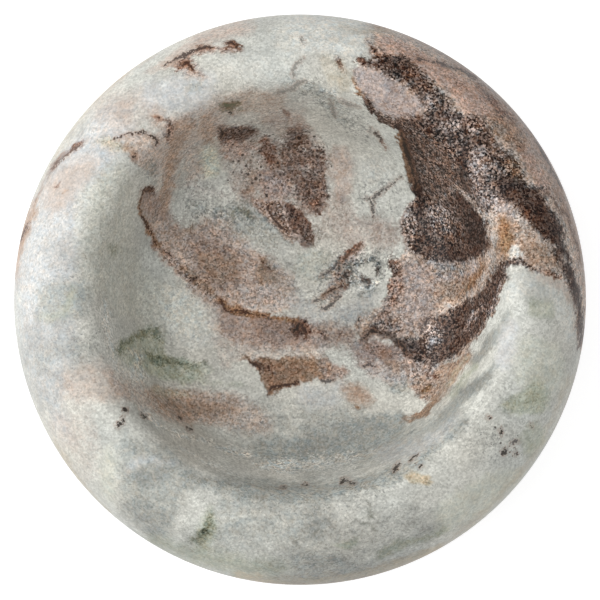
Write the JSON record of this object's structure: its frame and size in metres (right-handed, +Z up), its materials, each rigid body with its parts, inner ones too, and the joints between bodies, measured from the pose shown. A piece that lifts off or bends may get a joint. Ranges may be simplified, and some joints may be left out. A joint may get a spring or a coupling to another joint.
{
  "type": "stone bowl",
  "caption": "Low round stone bowl with a thick rolled rim and a smooth dished hollow, standing on small felt pads.",
  "frame": {"origin": "on the bowl's axis at the table, level with the undersides of the felt pads", "axes": "+Z up along the bowl's axis, +Y towards the far side of the bowl as the picture looks down on it, +X to its right"},
  "size_m": [0.25, 0.25, 0.078],
  "materials": {
    "marble": "satin",
    "felt": "matte"
  },
  "bodies": {
    "root": {"bowl_body": "marble", "felt_pad_front_left": "felt", "felt_pad_front_right": "felt", "felt_pad_back_left": "felt", "felt_pad_back_right": "felt"}
  },
  "joints": []
}
